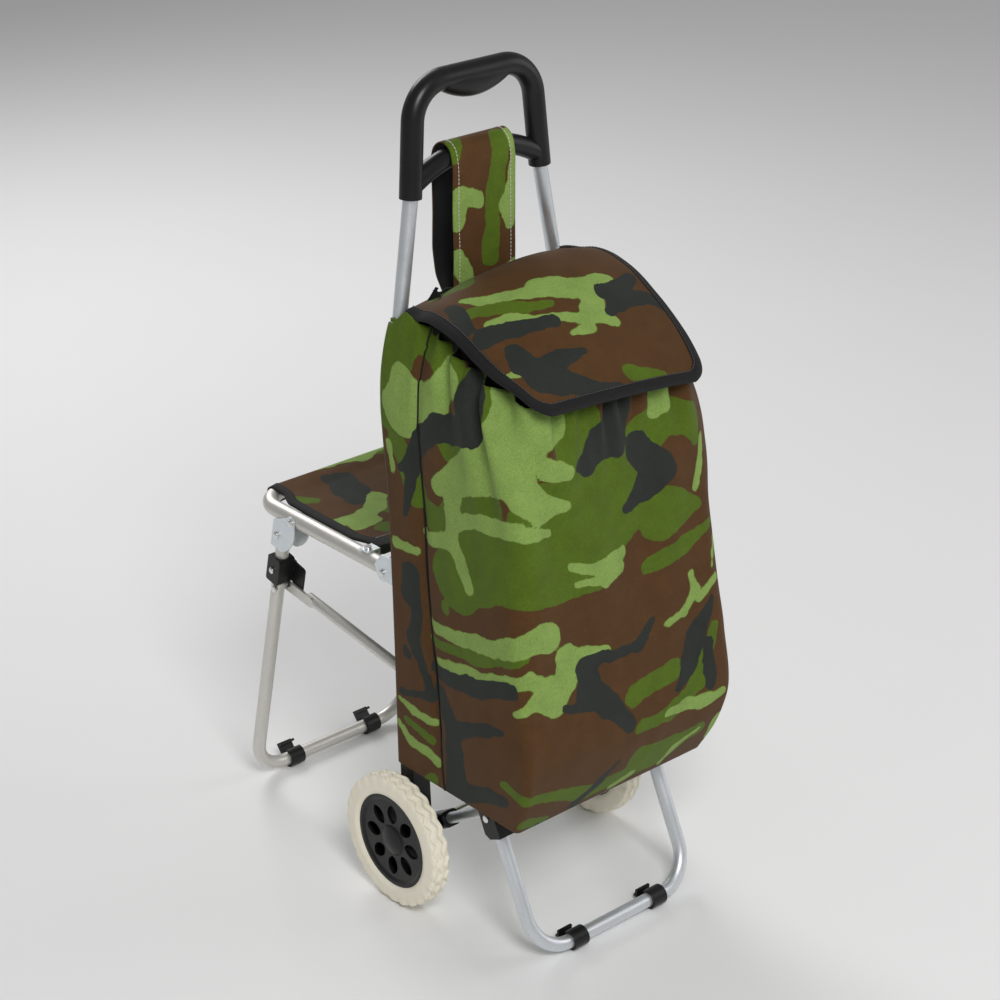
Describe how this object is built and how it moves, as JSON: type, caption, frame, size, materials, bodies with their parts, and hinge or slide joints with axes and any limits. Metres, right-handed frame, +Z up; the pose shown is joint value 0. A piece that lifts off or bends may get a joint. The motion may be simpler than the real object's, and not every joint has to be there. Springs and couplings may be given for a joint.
{
  "type": "folding shopping trolley",
  "caption": "Two-wheeled folding shopping trolley: tube frame, plastic handle, fabric bag with a lid flap, fold-out seat and front foot.",
  "frame": {"origin": "on the floor, in the middle of the footprint", "axes": "+Z up, +X to the right seen from the front (the bag side), +Y to the back (the seat side)"},
  "size_m": [0.32, 0.5472, 0.939],
  "materials": {
    "silver_tube": "satin silver paint",
    "grey_tube": "satin warm grey paint",
    "bright_steel": "bright plated steel",
    "zinc": "bluish zinc plate",
    "handle_plastic": "satin black",
    "black_plastic": "matt black, fine grain",
    "wheel_plastic": "satin black",
    "bush_plastic": "natural",
    "tyre_foam": "matt cream foam",
    "camouflage_cloth": "woven polyester, woodland pattern",
    "lining_cloth": "thin black lining",
    "board": "fibre board"
  },
  "bodies": {
    "frame": {"axle_rod": "bright_steel", "axle_washers": "zinc", "bag_board": "board", "bag_body": "camouflage_cloth", "bag_collar": "lining_cloth", "brace_rivets": "zinc", "foot_bracket_left": "black_plastic", "foot_bracket_right": "black_plastic", "foot_rivets": "zinc", "handle": "handle_plastic", "handle_screws": "zinc", "main_tube_left": "silver_tube", "main_tube_right": "silver_tube", "push_nuts": "zinc", "seat_hinge_plates_left": "zinc", "seat_hinge_plates_right": "zinc", "seat_hinge_rivets": "zinc", "shelf_tube": "bright_steel", "strap_loop": "camouflage_cloth", "tube_sleeve_left": "camouflage_cloth", "tube_sleeve_right": "camouflage_cloth", "wheel_bracket_left": "black_plastic", "wheel_bracket_right": "black_plastic"},
    "wheel_left": {"hub_left": "wheel_plastic", "tyre_left": "tyre_foam", "wheel_bush_left": "bush_plastic", "wheel_cap_left": "wheel_plastic"},
    "wheel_right": {"hub_right": "wheel_plastic", "tyre_right": "tyre_foam", "wheel_bush_right": "bush_plastic", "wheel_cap_right": "wheel_plastic"},
    "front_foot": {"front_foot_clips": "black_plastic", "front_foot_tube": "silver_tube"},
    "seat": {"leg_pivot_rivets": "zinc", "seat_bar_bolts": "zinc", "seat_bar_brackets": "zinc", "seat_cloth": "camouflage_cloth", "seat_cross_bar": "zinc", "seat_tube": "grey_tube"},
    "rear_leg": {"brace_clip_left": "black_plastic", "brace_clip_right": "black_plastic", "brace_clip_screws": "zinc", "brace_pegs": "zinc", "leg_hinge_plates_left": "zinc", "leg_hinge_plates_right": "zinc", "leg_plate_rivets": "zinc", "rear_leg_clips": "black_plastic", "rear_leg_tube": "grey_tube"},
    "brace_left": {"brace_left": "grey_tube"},
    "brace_right": {"brace_right": "grey_tube"},
    "flap": {"flap": "camouflage_cloth"}
  },
  "joints": [
    {"name": "wheel_left_spin", "type": "hinge", "parent": "frame", "child": "wheel_left", "pos_m": [-0.148, -0.0555, 0.08], "axis": [1, 0, 0], "continuous": true},
    {"name": "wheel_right_spin", "type": "hinge", "parent": "frame", "child": "wheel_right", "pos_m": [0.148, -0.0555, 0.08], "axis": [1, 0, 0], "continuous": true},
    {"name": "front_foot_fold", "type": "hinge", "parent": "frame", "child": "front_foot", "pos_m": [0, -0.1855, 0.159], "axis": [1, 0, 0], "range_deg": [0, 70]},
    {"name": "seat_fold", "type": "hinge", "parent": "frame", "child": "seat", "pos_m": [0, -0.0155, 0.392], "axis": [1, 0, 0], "range_deg": [0, 87.5]},
    {"name": "rear_leg_fold", "type": "hinge", "parent": "seat", "child": "rear_leg", "pos_m": [0, 0.1495, 0.392], "axis": [-1, 0, 0], "range_deg": [0, 103]},
    {"name": "brace_left_drop", "type": "hinge", "parent": "frame", "child": "brace_left", "pos_m": [-0.103, -0.04795, 0.258], "axis": [-1, 0, 0], "range_deg": [0, 80]},
    {"name": "brace_right_drop", "type": "hinge", "parent": "frame", "child": "brace_right", "pos_m": [0.103, -0.04795, 0.258], "axis": [-1, 0, 0], "range_deg": [0, 80]},
    {"name": "flap_open", "type": "hinge", "parent": "frame", "child": "flap", "pos_m": [0, -0.04143, 0.713], "axis": [-1, 0, 0], "range_deg": [0, 80]}
  ],
  "couplings": [
    {"joint": "rear_leg_fold", "follows": "seat_fold", "ratio": 1.1724}
  ]
}
